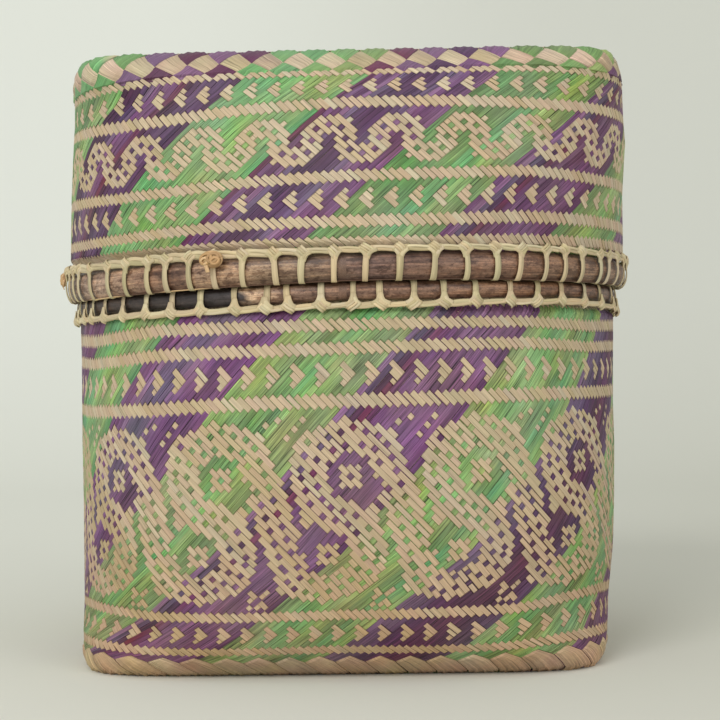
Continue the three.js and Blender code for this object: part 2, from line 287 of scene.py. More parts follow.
lidWall = {
    "foot": (113.5, 99.5),
    "rolled": 123.6,
    "wall": 128.7,
    "mouth": 126.2,
    "rollHeight": 24.0,
    "wallTop": 81.0,
    "tuck": (81.95, 84.75),
    "rim": 95.85,
    "closedEnd": 259.45,
    "endInset": 0.0,
    "turned": True,
    "foldRow": 27,
    "dyeFirst": 8,
    "rowHeights": (
        (-39.5, 163.8), (-33.5, 175.4), (-30.5, 179.6), (-27.5, 183.6), (-15.5, 202.0), (-8, 213.2),
        (0, 225.5), (7.5, 236.2), (16.5, 245.5), (18.5, 248.0), (23, 252.4), (27, 258.4),
    ),
    "cornerRise": 0.0,
    "spread": (
        (0, 0, 2.6), (5, 0, 2.4), (15, -1.0, 2.8), (33, -0.4, 3.6), (55, 0, 1.3), (77, 0, 0.7), (92, 0, 0),
    ),
    "drift": {
        "stations": (-75, -40, -30, -22, -12, 0, 13, 23, 34, 75),
        "rows": (-36, -26, -14, 0, 6, 12, 18, 23, 27),
        "round": (
            (0, -0.4, -0.8, -0.7, -0.2, 0, -0.3, -0.5, 0, 0),
            (0, -0.5, -1.0, -0.8, -0.2, 0, -0.4, -0.5, 0.2, 0),
            (0, -0.3, -0.4, -0.3, 0, 0, -0.2, -0.2, 0.1, 0),
            (0, 0.3, 0.6, 0.7, 0.5, 0.1, 0, 0, 0, 0),
            (0, 0.6, 1.3, 1.4, 1.1, 0.3, 0, -0.2, 0.1, 0),
            (0, 0.8, 2.0, 2.1, 1.6, 0.6, 0, -0.4, 0.2, 0),
            (0, 0.8, 1.9, 2.0, 1.5, 0.5, -0.6, -0.9, -0.4, 0),
            (0, 0.6, 1.6, 1.7, 1.2, 0.3, -1.2, -1.7, -1.2, 0),
            (0, 0.5, 1.3, 1.5, 1.0, 0.2, -1.0, -1.6, -1.2, 0),
        ),
        "up": (
            (0, 0, 0, 0, 0, 0, 0, 0, 0, 0),
            (0, -2.8, -2.4, -1.4, 0, 0, 0.6, 2.0, 1.8, 0),
            (0, -3.2, -4.2, -3.8, -1.6, 0, 0.8, 2.2, 0.6, 0),
            (0, -3.8, -5.2, -4.6, -1.8, 0, 0, 0, 0, 0),
            (0, -4.0, -5.2, -4.6, -2.0, 0, 0, -0.8, -0.4, 0),
            (0, -3.4, -3.6, -3.0, -1.2, 0, 0.3, 0.6, 0.2, 0),
            (0, -2.0, -1.4, -0.8, -0.2, 0, 0.6, 1.4, 0.8, 0),
            (0, -1.0, -0.6, -0.3, 0, 0, 0.3, 0.7, 0.4, 0),
            (0, 0, 0, 0, 0, 0, 0, 0, 0, 0),
        ),
    },
}
innerWall = {
    **bodyWall,
    "foot": (108.2, 95.7),
    "rolled": 116.6,
    "wall": 122.0,
    "mouth": 118.3,
    "tuck": (146.0, 154.0),
    "rim": 177.0,
    "endInset": 1.4,
    "rowHeights": ((-58, 2.2), (-36, 26), (0, 84.2), (39.5, 151.9), (54, 177.0)),
    "cornerRise": 0.0,
    "drift": None,
}
liningWall = {
    **lidWall,
    "foot": (111.2, 97.2),
    "rolled": 121.0,
    "wall": 126.4,
    "mouth": 123.8,
    "endInset": 1.4,
    "rowHeights": ((-39.5, 163.8), (0, 225.5), (16.5, 245.0), (27, 257.2)),
    "drift": None,
}
# Of every wall: the superellipse powers of its plan at the closed end and above the roll, where the
# roll starts in degrees, and how much rows and rims climb to the right, over the radius leanAt
form = {
    "squareEnd": 8.0,
    "squareRoll": 2.9,
    "foldTurn": 30,
    "rollSteps": 12,
    "wallSteps": 8,
    "lean": 0.0113,
    "leanAt": 120,
    "leanFrom": 30,
    "endLean": 0.7,
    "cornerFade": (120, 95, 12),
    "sidesFrom": 50,
    "sidesOver": 65,
}


def planOutline(halfWidth, halfDepth, power):
    # one ring of the wall, a point at every half strip, from the front middle round by the right
    turn = np.linspace(0, math.pi / 2, 1201)
    x = halfWidth * np.sin(turn) ** (2 / power)
    y = -halfDepth * np.maximum(np.cos(turn), 0) ** (2 / power)
    length = np.concatenate(([0], np.cumsum(np.hypot(np.diff(x), np.diff(y)))))
    places = np.linspace(0, length[-1], 2 * stripsPerSide + 1)
    qx, qy = np.interp(places, length, x), np.interp(places, length, y)
    ringX = np.concatenate((qx[:-1], qx[:0:-1], -qx[:-1], -qx[:0:-1]))
    ringY = np.concatenate((qy[:-1], -qy[:0:-1], -qy[:-1], qy[:0:-1]))
    return np.stack((ringX, ringY), axis=1)


def makeShell(wall):
    # rings of the wall from the closed end to the rim, with their outward directions
    start = math.radians(form["foldTurn"])
    halfWidth, halfDepth = wall["foot"]
    rolled, rollHeight = wall["rolled"], wall["rollHeight"]
    square = form["squareRoll"] - form["squareEnd"]
    rings = []
    for step in range(form["rollSteps"] + 1):
        turn = start + (math.pi / 2 - start) * step / form["rollSteps"]
        out = (math.sin(turn) - math.sin(start)) / (1 - math.sin(start))
        up = (math.cos(start) - math.cos(turn)) / math.cos(start)
        rings.append((
            halfWidth + (rolled - halfWidth) * out,
            halfDepth + (rolled - halfDepth) * out,
            form["squareEnd"] + square * out ** 0.8,
            rollHeight * up,
        ))
    for share in np.linspace(0, 1, form["wallSteps"] + 1)[1:]:
        half = rolled + (wall["wall"] - rolled) * share
        height = rollHeight + (wall["wallTop"] - rollHeight) * share
        rings.append((half, half, form["squareRoll"] + (2 - form["squareRoll"]) * share, height))
    for half, height in zip((wall["wall"], wall["mouth"], wall["mouth"]), (*wall["tuck"], wall["rim"])):
        rings.append((half, half, 2, height))
    levels = np.array([r[3] for r in rings])
    plan = np.array([planOutline(*r[:3]) for r in rings])
    points = np.concatenate((plan, np.broadcast_to(levels[:, None, None], plan.shape[:2] + (1,))), axis=2)
    around = np.roll(points, -1, axis=1) - np.roll(points, 1, axis=1)
    facing = np.cross(around, np.gradient(points, axis=0))
    facing /= np.linalg.norm(facing, axis=2, keepdims=True)
    return {**wall, "levels": levels, "points": points, "facing": facing}


def sample(table, u, index):
    # reads a ring table at any place round the box and between two rings
    column = np.mod(u * 2, 2 * stripsRound)
    c0 = np.floor(column).astype(int) % (2 * stripsRound)
    c1 = (c0 + 1) % (2 * stripsRound)
    cf = (column - np.floor(column))[..., None]
    r0 = np.clip(np.floor(index).astype(int), 0, len(table) - 2)
    rf = (index - r0)[..., None]
    low = table[r0, c0] * (1 - cf) + table[r0, c1] * cf
    high = table[r0 + 1, c0] * (1 - cf) + table[r0 + 1, c1] * cf
    return low * (1 - rf) + high * rf


def wander(drift, u, row):
    # how far the hand-made plait lies off an even one: strips round and mm up
    if drift is None:
        return 0, 0
    near = np.mod(u + stripsRound / 2, stripsRound) - stripsRound / 2
    moves = []
    for table in (drift["round"], drift["up"]):
        move = np.zeros(u.shape)
        for k, line in enumerate(table):
            share = np.interp(row, drift["rows"], np.eye(len(table))[k])
            move += share * np.interp(near, drift["stations"], line)
        moves.append(move)
    return moves


def place(shell, u, row, offset):
    # a point on the wall or the closed end: u strips round, at that row, offset mm outwards
    sign = -1 if shell["turned"] else 1
    moveRound, moveUp = wander(shell["drift"], u, row)
    level = np.interp(row, *np.array(shell["rowHeights"]).T) + moveUp
    u = u + moveRound
    if shell["turned"]:
        level = shell["closedEnd"] - level
    corner = (0.5 - 0.5 * np.cos(2 * math.pi * u / stripsPerSide)) ** 2
    top, over, bottom = form["cornerFade"]
    fade = np.clip((top - level) / over, 0, 1) * np.clip(level / bottom, 0, 1)
    level = level + shell["cornerRise"] * corner * fade
    lean = form["lean"] * np.clip(level / form["leanFrom"], 0, 1) * sign
    level = level + lean * form["leanAt"] * np.sin(2 * math.pi * u / stripsRound)
    index = np.interp(level, shell["levels"], np.arange(len(shell["levels"])))
    point = sample(shell["points"], u, index)
    facing = sample(shell["facing"], u, index)
    # past the fold the place is on the closed end, flat between the middle and the edge
    inward = (shell["foldRow"] - row) * sign / 2
    onEnd = inward > 0
    if np.any(onEnd):
        edge = sample(shell["points"], u, np.zeros_like(u))
        flat = edge * np.clip(1 - inward / halfSide, 0, 1)[..., None]
        flat[..., 2] = edge[..., 2] + shell["endInset"]
        turn = np.clip(inward / 1.2, 0, 1)[..., None]
        flatFacing = sample(shell["facing"], u, np.zeros_like(u)) * (1 - turn) + np.array((0, 0, -1.0)) * turn
        flatFacing /= np.linalg.norm(flatFacing, axis=-1, keepdims=True)
        point = np.where(onEnd[..., None], flat, point)
        facing = np.where(onEnd[..., None], flatFacing, facing)
    levels, left, right = np.array(shell["spread"]).T
    atSide = smooth((np.abs(point[..., 0]) - form["sidesFrom"]) / form["sidesOver"])
    stand = np.where(point[..., 0] > 0, np.interp(level, levels, right), -np.interp(level, levels, left))
    point[..., 0] += atSide * stand
    point = point + facing * offset[..., None]
    if shell["turned"]:
        tilt = form["endLean"] * form["lean"] * np.clip(1 - level / form["leanFrom"], 0, 1) * point[..., 0]
        point[..., 2] = shell["closedEnd"] - point[..., 2] + tilt
    return point


bodyShell, lidShell, innerShell, liningShell = map(makeShell, (bodyWall, lidWall, innerWall, liningWall))
print("walls laid out")


# The pattern: where a dyed strip lies over a natural one. Columns are half strips, rows go up.

def arrowAt(column, row, side, top):
    # a small natural arrowhead, three strips to the next; side 1 points right, -1 left
    x = np.mod(column * side, 6)
    y = (top - row) * side
    return (np.abs(y - 2) <= 2 - x) & (np.mod(x + y, 2) == 0)


scroll = {
    "period": 32,
    "turnedFrom": (-6, -18),
    "flowerReach": 2,
    "upperSpots": ((16, 6), (17, 9), (19, 11), (15, 13), (21, 13), (12, 12)),
    "lowerFlower": (16, 12),
    "lowerSpot": (16, 6),
}


def flowerAt(x, y):
    # a square of natural cells with a dyed one in its middle
    reach = scroll["flowerReach"]
    return (np.abs(x) <= reach) & (np.abs(y) <= reach) & ((x != 0) | (y != 0))


def scrollDyed(column, row):
    # the running scroll of the body: round eyes with dotted rings and bells hanging between them,
    # and the same half turned round below it
    period = scroll["period"]
    turnX, turnY = scroll["turnedFrom"]
    x = np.mod(column + 15, period) - 15
    y = row.astype(float)
    dyed, dots, flowers, besideTail = np.zeros((4, *x.shape), bool)
    for turned in (False, True):
        for shift in (-period, 0, period):
            cx = (turnX - x if turned else x) + shift
            cy = turnY - y if turned else y
            disc = (np.hypot(cx - 0.2, cy + 0.2) < 5.7) | (np.hypot(cx - 3.6, cy + 3.6) < 3.6)
            fromTail = np.abs(cx - (6.8 + 0.27 * (-7 - cy)))
            tail = (fromTail <= 1.05) & (cy <= -6.5) & (cy >= -19)
            besideTail |= (fromTail < 3.1) & (cy <= -6.5) & (cy >= -17)
            width = 0.8 + 0.33 * (cy - 1) + 10 * (np.maximum(cy - 1, 0) / 12) ** 6
            bell = ((np.abs(cx - 15.6) < width) & (cy >= 0.5)) | (cy > 13.2)
            dyed |= disc | tail | bell
            flowers |= flowerAt(cx, cy)
            if turned:
                flowers |= flowerAt(cx - scroll["lowerFlower"][0], cy - scroll["lowerFlower"][1])
            for spotX, spotY in (scroll["lowerSpot"],) if turned else scroll["upperSpots"]:
                flowers |= (cx == spotX) & (cy == spotY)
            # the rings' dots are every fifth cell, leaning one way or the other by quarters
            da, db = (cx - 1 + cy - 1) / 2, (cx - 1 - cy + 1) / 2
            angle = np.degrees(np.arctan2(cy - 1, cx - 1)) % 180
            first = (angle < 45) | ((angle >= 90) & (angle < 135))
            ringDots = np.mod(np.where(first, da - 2 * db, 2 * da - db), 5) == 0
            between = (cx > 8) & (cx < 17) & (cy < 4) & (cy > -22)
            betweenDots = np.mod(cx - 3 * cy, 10) == (2 if turned else 8)
            near = np.hypot(cx, cy) < np.hypot(cx - turnX, cy - turnY)
            near &= (np.abs(cx) < 17) & (np.hypot(cx, cy) > 3.9)
            dots |= near & np.where(between, betweenDots, ringDots)
    return (dyed & ~flowers) | (dots & ~besideTail)


def crestAt(x, y):
    # the natural crest of a wave
    reach = np.abs(x)
    natural = (y == 2) & (reach <= 2)
    natural |= (y == 1) & ((reach <= 3) | (x == 5))
    natural |= (y <= 0) & (y >= -2) & (reach <= 4 - y)
    return natural | ((y == -3) & ((reach == 3) | (reach == 5)))


def waveDyed(column, row):
    # the running wave of the lid: a natural band with a dyed spot in each fifth cell
    x = np.mod(column + 13, 16) - 8
    natural = crestAt(x, row) | crestAt(np.mod(-x, 16) - 8, -8 - row)
    natural |= (row == -4) & (np.abs(x) >= 2) & (np.abs(x) <= 6)
    for spotX, spotRow in ((0, 0), (3, -1), (4, -4), (5, -7), (8, -8)):
        natural &= ~((np.abs(x) == spotX) & (row == spotRow))
    return ~natural


# Rows of natural bands and of arrowheads, the rows of the main figure, and where wide strips begin
bodyPattern = {
    "bands": ((40, 42), (34, 36), (28, 30), (16, 18), (-36, -34), (-48, -46)),
    "arrows": (25, -39),
    "side": 1,
    "figure": scrollDyed,
    "figureRows": (-33, 15),
    "wideRow": -48,
}
lidPattern = {
    "bands": ((17, 18), (5, 7), (-15, -13), (-27, -25), (-33, -31)),
    "arrows": (10, -22),
    "side": -1,
    "figure": waveDyed,
    "figureRows": (-12, 4),
    "wideRow": 18,
}


def wideGroup(number):
    return np.floor((number - 2) / stripsInWide)


def dyedShows(pattern, row, a, b):
    # for natural strips a that cross dyed strips b
    side = pattern["side"]
    natural = np.any([(row >= low) & (row <= high) for low, high in pattern["bands"]], axis=0)
    for top in pattern["arrows"]:
        natural |= arrowAt(a + b + 1, row, side, top)
    low, high = pattern["figureRows"]
    dyed = np.where((row >= low) & (row <= high), pattern["figure"](a + b, row), ~natural)
    return np.where((pattern["wideRow"] - row) * side > 0, wideGroup(a) - wideGroup(b) != side, dyed)


# Strips. Widths are in narrow strips; each narrow family has its half width below and above, and
# how much thinner some of its strips are. Family 1 is natural and leans left going up, -1 is dyed.

plait = {
    "thickness": 0.42,
    "overHeight": -0.23,
    "underHeight": -0.78,
    "narrow": {1: (0.492, 0.473, 0.24), -1: (0.497, 0.483, 0.08)},
    "narrowDip": 0.15,
    "finerAbove": 35,
    "wideHalf": 1.96,
    "wideDip": 0.5,
    "bow": 0.55,
    "acrossMm": 2.3,
    "alongMm": 2.34,
}
browning = {"fromRow": 6, "overRows": 60, "loss": (0.14, 0.26, 0.36)}
dyeWidth = 16
naturalTints = (
    (188, 171, 140), (191, 172, 144), (182, 163, 130), (191, 168, 142), (179, 160, 132),
    (190, 175, 148), (187, 163, 136), (179, 159, 124),
)
purpleTints = (
    (106, 68, 106), (98, 55, 88), (106, 52, 80), (78, 46, 72), (86, 57, 90), (98, 80, 106),
    (128, 92, 124), (112, 72, 110), (92, 53, 86), (120, 82, 114),
)
greenTints = (
    (112, 144, 88), (98, 148, 94), (108, 154, 100), (120, 160, 96), (140, 166, 100), (130, 152, 92),
    (116, 135, 88), (102, 134, 80),
)
templates = {}


def ribbonTemplate(rings, corners):
    # a straight closed ribbon: a section with that many corners, carried along by spin
    key = (rings, corners)
    if key not in templates:
        bm = bmesh.new()
        bmesh.ops.create_circle(bm, cap_ends=True, segments=corners, radius=1,
                                matrix=Matrix.Rotation(math.pi / 2, 4, "Y"))
        bmesh.ops.spin(bm, geom=bm.verts[:] + bm.edges[:] + bm.faces[:], cent=(0, 0, 0),
                       axis=(1, 0, 0), dvec=(1, 0, 0), angle=0, steps=rings - 1, use_merge=False)
        bmesh.ops.recalc_face_normals(bm, faces=bm.faces[:])
        mesh = bpy.data.meshes.new("ribbon")
        bm.to_mesh(mesh)
        bm.free()
        co = pointsOf(mesh)
        angle = np.arctan2(co[:, 2], co[:, 1]) / (2 * math.pi) * corners
        corner = np.mod(np.rint(angle).astype(int), corners)
        templates[key] = (mesh, np.rint(co[:, 0]).astype(int), corner)
    return templates[key]


def pointsOf(mesh):
    co = np.empty(len(mesh.vertices) * 3)
    mesh.vertices.foreach_get("co", co)
    return co.reshape(-1, 3)


def writePoints(mesh, points, colours, ways):
    # places, and for the materials each point's colour and its own place across and along
    mesh.vertices.foreach_set("co", (points * mm).ravel())
    mesh.attributes.new("stripColour", "FLOAT_COLOR", "POINT").data.foreach_set("color", colours.ravel())
    mesh.attributes.new("stripWay", "FLOAT_VECTOR", "POINT").data.foreach_set("vector", ways.ravel())


def addPiece(mesh, material, body, node):
    mesh.materials.append(material)
    mesh.update()
    piece = bpy.data.objects.new(mesh.name, mesh)
    scene.collection.objects.link(piece)
    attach(piece, body)
    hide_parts(node)
    mesh.calc_loop_triangles()
    print(mesh.name, "made,", len(mesh.loop_triangles), "triangles")


def ribbonPiece(name, ribbons, material, body, node, rounded=False):
    # one piece of many ribbons
    bm = bmesh.new()
    places, colours, ways = [], [], []
    for ribbon in ribbons:
        mesh, ring, corner = ribbonTemplate(*ribbon["points"].shape[:2])
        bm.from_mesh(mesh)
        places.append(ribbon["points"][ring, corner])
        colours.append(ribbon["colour"][ring])
        ways.append(ribbon["way"][ring, corner])
    mesh = bpy.data.meshes.new(name)
    bm.to_mesh(mesh)
    bm.free()
    writePoints(mesh, *map(np.concatenate, (places, colours, ways)))
    bm = bmesh.new()
    bm.from_mesh(mesh)
    if bm.calc_volume(signed=True) < 0:
        bmesh.ops.reverse_faces(bm, faces=bm.faces[:])
    bm.to_mesh(mesh)
    bm.free()
    if rounded:
        mesh.shade_smooth()
    addPiece(mesh, material, body, node)


def ribbonOf(points, across, along, rng, colour=(1, 1, 1)):
    # way is the place across and along, and a number that tells the ribbon from its neighbours
    way = np.empty(points.shape)
    way[..., 0], way[..., 1], way[..., 2] = across, along, rng.uniform(0, 900)
    rgba = np.ones((len(points), 4))
    rgba[:, :3] = colour
    return {"points": points, "way": way, "colour": rgba}


def varied(colour, rng, amount):
    lift = 1 + rng.uniform(-amount, amount)
    return [min(1, c * lift * (1 + rng.uniform(-0.03, 0.03))) for c in linear(*colour)]


def drifting(tints, strip, seed):
    # neighbouring strips come from one bath or one cane, so their tones change slowly
    step = len(tints) * (1 + 0.5 * math.sin(strip * 0.16 + seed) + 0.25 * math.sin(strip * 0.37 + 2.3 * seed))
    low = math.floor(step)
    share = smooth(step - low)
    return [a * (1 - share) + b * share
            for a, b in zip(tints[low % len(tints)], tints[(low + 1) % len(tints)])]


def dyeOf(beta, first, rng):
    # 16 strips of one dye, then 16 of the other; the odd group out lies at the back
    ahead = 7 * dyeWidth
    span = (beta - first + ahead) % stripsRound - ahead
    tints = greenTints if math.floor(span / dyeWidth) % 2 else purpleTints
    return varied(drifting(tints, beta, first), rng, 0.1)


def weathered(shell, row):
    # the foot of the box is browner
    share = np.clip((browning["fromRow"] - row) / browning["overRows"], 0, 1) * (not shell["turned"])
    return 1 - share[:, None] * np.array(browning["loss"])


def narrowRibbon(shell, family, number, start, stop, cells, dyedOnTop, rng):
    # a narrow strip up the wall, start and stop in rows from the fold
    heights = np.where(dyedOnTop == (family == -1), plait["overHeight"], plait["underHeight"])
    stops = [(start, heights[0])]
    for cell, here, beyond in zip(cells, heights, heights[1:]):
        edge = cell + 0.5
        if not start < edge < stop:
            continue
        if here != beyond:
            stops += [(edge - plait["narrowDip"], here), (edge + plait["narrowDip"], beyond)]
        elif cell % 3 == 0 or shell["foldRow"] + edge > plait["finerAbove"]:
            stops.append((edge, here))
    along, lift = np.array(stops + [(stop, heights[-1])]).T
    sway = 0.03 * np.sin(along * 0.21 + rng.uniform(0, 6.3)) + rng.uniform(-0.02, 0.02)
    half, upper, thinner = plait["narrow"][family]
    narrow = 1 - thinner * rng.random() ** 3
    half, upper = half * narrow, upper * narrow
    across = np.array((-half, half, upper, -upper)) + sway[:, None]
    thick = np.array((-0.5, -0.5, 0.5, 0.5)) * plait["thickness"]
    t = along[:, None]
    u = number + 0.5 + (across - family * t) / 2
    offset = lift[:, None] + thick + rng.uniform(-0.09, 0.05)
    points = place(shell, u, shell["foldRow"] + t + family * across, offset)
    return ribbonOf(points, across * plait["acrossMm"], t * plait["alongMm"], rng), along


def stripEnds(plan, family, number):
    # a strip splits off its wide strip where that is hidden, under the first triangles
    fold = plan["shell"]["foldRow"]
    group = stripsInWide * wideGroup(number)
    atRim = plan["rimRow"] - fold
    if plan["shell"]["turned"]:
        return atRim, (number - 11.5 - group if family == 1 else plan["dyedTop"] - fold)
    return (number + 4.5 - group if family == 1 else group + 7.5 - number), atRim


def narrowSet(plan, family, numbers):
    shell, seed = plan["shell"], plan["seeds"][family]
    ribbons = []
    for number in numbers:
        rng = random.Random(seed + number)
        start, stop = stripEnds(plan, family, number)
        cells = np.arange(math.floor(start - 0.5) + 1, math.ceil(stop + 0.5))
        natural, dyed = (number, number - cells) if family == 1 else (number + cells, number)
        shows = dyedShows(plan["pattern"], shell["foldRow"] + cells, natural, dyed)
        ribbon, along = narrowRibbon(shell, family, number, start, stop, cells, shows, rng)
        if family == 1:
            colour = [c * plan["paler"] for c in varied(drifting(naturalTints, number, seed), rng, 0.05)]
        else:
            colour = dyeOf(number + 0.5, shell["dyeFirst"], rng)
        ribbon["colour"][:, :3] = colour * weathered(shell, shell["foldRow"] + along)
        ribbons.append(ribbon)
    return ribbons


# Materials

def fibreGroup():
    # long fine fibres with painted highlights along them, and a slow change of tone along each strip
    tree = bpy.data.node_groups.new("splitFibre", "ShaderNodeTree")
    for name, way, kind in (
        ("Way", "INPUT", "Vector"), ("Colour", "INPUT", "Color"), ("Fibre depth", "INPUT", "Float"),
        ("Blotch depth", "INPUT", "Float"), ("Colour", "OUTPUT", "Color"), ("Roughness", "OUTPUT", "Float"),
        ("Height", "OUTPUT", "Float"),
    ):
        tree.interface.new_socket(name, in_out=way, socket_type="NodeSocket" + kind)
    start = tree.nodes.new("NodeGroupInput").outputs
    end = tree.nodes.new("NodeGroupOutput")

    def reckon(kind, first, second):
        return addNode(tree, "Math", {0: first, 1: second}, operation=kind)[0]

    fibre = noise(tree, start["Way"], (2.3, 0.07, 1), 4)
    blotch = noise(tree, start["Way"], (0.5, 0.06, 1), 3)
    hair = reckon("MINIMUM", reckon("SUBTRACT", noise(tree, start["Way"], (2.2, 0.035, 1), 1), 0.44), 0)
    # fine light lines along the fibres: painted highlights; the hair lines above are dark fibre streaks
    paintedShine = reckon("MAXIMUM", reckon("SUBTRACT", noise(tree, start["Way"], (2.6, 0.05, 1), 1), 0.58), 0)
    hairsAndPaintedShine = reckon("MULTIPLY", reckon("ADD", hair, paintedShine), 2.8)
    fine = reckon("ADD", reckon("SUBTRACT", fibre, 0.5), hairsAndPaintedShine)
    fineShare = reckon("MULTIPLY", fine, start["Fibre depth"])
    slowShare = reckon("MULTIPLY", reckon("SUBTRACT", blotch, 0.5), start["Blotch depth"])
    tone = reckon("ADD", 1, reckon("ADD", fineShare, slowShare))
    scaled = addNode(tree, "VectorMath", {0: start["Colour"], "Scale": tone}, operation="SCALE")
    feed(tree, end, {
        "Colour": scaled["Vector"],
        "Roughness": reckon("ADD", 0.42, reckon("MULTIPLY", fibre, 0.3)),
        "Height": fibre,
    })
    return tree


splitFibre = fibreGroup()


def stripInputs(tree):
    return (addNode(tree, "Attribute", {}, attribute_name="stripWay")["Vector"],
            addNode(tree, "Attribute", {}, attribute_name="stripColour")["Color"])


def stripMaterial(name, fibreDepth, blotchDepth, bump, bathDrift=0):
    # bathDrift lets the dye turn in hue and strength from one part of the box to the next
    material, tree, shader = newMaterial(name)
    way, dye = stripInputs(tree)
    if bathDrift:
        where = addNode(tree, "TexCoord", {})["Object"]
        bath = addNode(tree, "TexNoise", {"Vector": where, "Scale": 44, "Detail": 3})["Color"]
        parts = addNode(tree, "SeparateColor", {"Color": bath})
        turned = {"Color": dye}
        for part, socket, middle, reach in (
            ("Red", "Hue", 0.5, bathDrift), ("Green", "Saturation", 0.96, 4 * bathDrift),
            ("Blue", "Value", 1.0, 3 * bathDrift),
        ):
            turned[socket] = ranged(tree, parts[part], 0.25, 0.75, middle - reach, middle + reach)
        dye = addNode(tree, "HueSaturation", turned)["Color"]
    fibre = addNode(tree, "Group", {
        "Way": way,
        "Colour": dye,
        "Fibre depth": fibreDepth,
        "Blotch depth": blotchDepth,
    }, node_tree=splitFibre)
    feed(tree, shader, {
        "Base Color": fibre["Colour"],
        "Roughness": fibre["Roughness"],
        "Normal": bumped(tree, fibre["Height"], bump, 0.0002),
        "Specular IOR Level": 0.35,
    })
    return material


def barkMaterial():
    # bark of a thin cane: long streaks and bands, specks and worn places, a soft polish
    material, tree, shader = newMaterial("canebark")
    way, colour = stripInputs(tree)
    streak = noise(tree, way, (1.3, 0.09, 1), 5, 0.6)
    fleck = noise(tree, way, (1.1, 0.6, 1), 6, 0.75)
    patch = noise(tree, way, (0.22, 0.1, 1), 5, 0.7)
    band = noise(tree, way, (0.62, 0.018, 1), 4, 0.7)
    for mask, low, high, most, tone in (
        (streak, 0.5, 0.62, 0.6, (0.4, 0.3, 0.24)),
        (band, 0.5, 0.6, 0.75, (0.5, 0.4, 0.36)),
        (band, 0.48, 0.4, 0.75, (1.55, 1.5, 1.42)),
        (fleck, 0.53, 0.64, 0.9, (1.5, 1.52, 1.5)),
        (fleck, 0.47, 0.37, 0.85, (0.36, 0.24, 0.18)),
        (patch, 0.52, 0.56, 0.8, (0.4, 0.31, 0.26)),
        (patch, 0.46, 0.4, 0.8, (1.35, 1.3, 1.22)),
    ):
        colour = mixed(tree, "MULTIPLY", ranged(tree, mask, low, high, 0, most), colour, (*tone, 1))
    feed(tree, shader, {
        "Base Color": colour,
        "Roughness": ranged(tree, fleck, 0.3, 0.7, 0.26, 0.55),
        "Normal": bumped(tree, fleck, 0.5, 0.0003),
    })
    return material


def plainWood(name, dark, light):
    # neck binding and splint: split cane, streaked along its length
    material, tree, shader = newMaterial(name)
    grain = noise(tree, addNode(tree, "TexCoord", {})["Object"], (60, 60, 1400), 4)
    feed(tree, shader, {
        "Base Color": mixed(tree, "MIX", grain, (*linear(*dark), 1), (*linear(*light), 1)),
        "Normal": bumped(tree, grain, 0.4, 0.0003),
        "Roughness": 0.55,
    })
    return material


naturalStrip = stripMaterial("naturalStrip", 0.5, 0.36, 0.9)
dyedStrip = stripMaterial("dyedStrip", 1.5, 0.9, 0.9, 0.055)
wideStrip = stripMaterial("wideStrip", 0.9, 0.5, 0.9, 0.03)
rattanStrip = stripMaterial("rattanStrip", 0.32, 0.3, 0.8)
caneBark = barkMaterial()
print("materials made")


# Narrow strips of the two outer baskets

narrowPlans = (
    {"name": "body", "shell": bodyShell, "pattern": bodyPattern, "rimRow": 44.4,
     "seeds": {1: 1000, -1: 3000}, "paler": 1.0, "body": "box", "node": "outer_basket"},
    {"name": "lid", "shell": lidShell, "pattern": lidPattern, "rimRow": -39.2, "dyedTop": 17.5,
     "seeds": {1: 5000, -1: 7000}, "paler": 1.04, "body": "lid", "node": "lid_basket"},
)
for plan in narrowPlans:
    middle = stripsRound // 2
    for side, numbers in (("Right", range(middle)), ("Left", range(middle, stripsRound))):
        for family, kind, material in ((1, "Natural", naturalStrip), (-1, "Dyed", dyedStrip)):
            ribbonPiece(plan["name"] + kind + side, narrowSet(plan, family, numbers), material,
                        plan["body"], plan["node"])


# Wide strips: the closed ends, and the two baskets inside. Family P runs to the front and right,
# Q to the left and front. past is how far natural and dyed strips go on beyond the fold.

widePlans = (
    {"name": "footStrips", "shell": bodyShell, "past": (8, 4), "slanted": False, "dyed": True, "seed": 9000,
     "acrossPoints": 5, "spacing": 1.3, "body": "box", "slot": "dyed_plait", "node": "outer_basket"},
    {"name": "lidTopStrips", "shell": lidShell, "past": (8, 9.5), "slanted": True, "dyed": True, "seed": 9000,
     "acrossPoints": 5, "spacing": 1.3, "body": "lid", "slot": "dyed_plait", "node": "lid_basket"},
    {"name": "innerStrips", "shell": innerShell, "past": (111.5, 111.5), "slanted": False, "dyed": False,
     "seed": 11000, "acrossPoints": 3, "spacing": 2, "body": "box", "slot": "plain_plait",
     "node": "inner_basket"},
    {"name": "liningStrips", "shell": liningShell, "past": (66, 66), "slanted": False, "dyed": False,
     "seed": 13000, "acrossPoints": 3, "spacing": 2, "body": "lid", "slot": "plain_plait",
     "node": "lid_lining"},
)
foldStops = (-1.6, -0.9, -0.4, 0, 0.4, 0.9, 1.6, 2.4)
closestStops = 0.22
slantLength = 3.3


def sideOf(family, centre, x, y):
    # which side of the square end each point of a wide strip has gone over, or none
    front, right, back, left = y < -halfSide, x > halfSide, y > halfSide, x < -halfSide
    if family == "P":
        return (front, right & ~front, None, None) if centre > 0 else (None, None, back & ~left, left)
    return (front & ~left, None, None, left) if centre < 0 else (None, right, back & ~right, None)


def endSides(family, centre):
    if family == "P":
        return ("front", "right") if centre > 0 else ("left", "back")
    return ("left", "front") if centre < 0 else ("back", "right")


